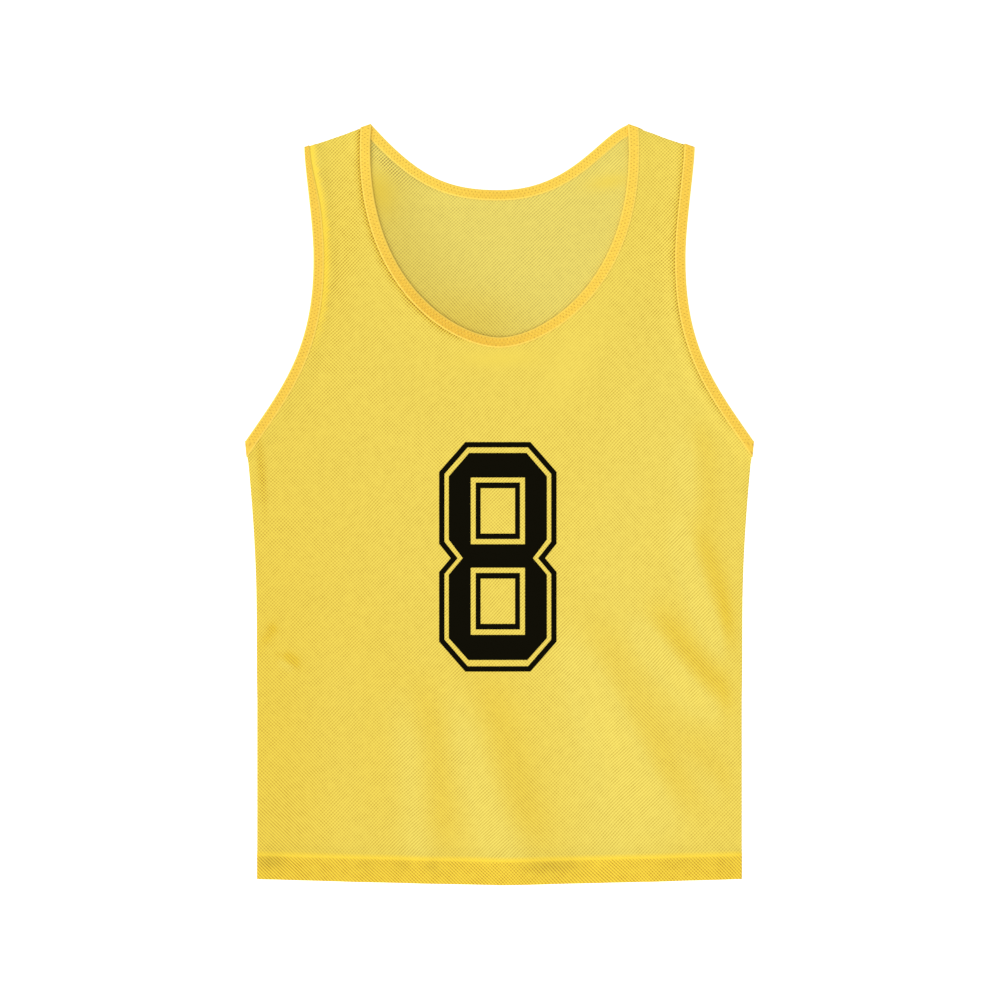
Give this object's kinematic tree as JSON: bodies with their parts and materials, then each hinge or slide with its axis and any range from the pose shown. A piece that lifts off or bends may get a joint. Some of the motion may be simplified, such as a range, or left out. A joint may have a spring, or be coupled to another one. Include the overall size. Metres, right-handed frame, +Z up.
{
  "type": "mesh training bib",
  "caption": "Sleeveless mesh sports bib laid flat: front and back panels with turned-up hems, bound scoop neck and bound armholes, block number print.",
  "frame": {"origin": "under the middle of the laid-out bib, on the surface it lies on", "axes": "+Z up off the surface, +Y from hem to collar, +X to the wearer's left, which is the right of someone who looks down on it"},
  "size_m": [0.4586, 0.6849, 0.0075],
  "materials": {
    "mesh_knit": "yellow polyester mesh, small even eyelets, matt with a slight sheen",
    "binding_knit": "yellow polyester knit tape, close and matt",
    "number_film": "black heat-pressed film, smooth and matt",
    "sewing_thread": "yellow polyester thread"
  },
  "bodies": {
    "root": {"back_panel": "mesh_knit", "front_panel": "mesh_knit", "neck_binding_back": "binding_knit", "neck_binding_front": "binding_knit", "left_armhole_binding_back": "binding_knit", "left_armhole_binding_front": "binding_knit", "right_armhole_binding_back": "binding_knit", "right_armhole_binding_front": "binding_knit"}
  },
  "joints": []
}
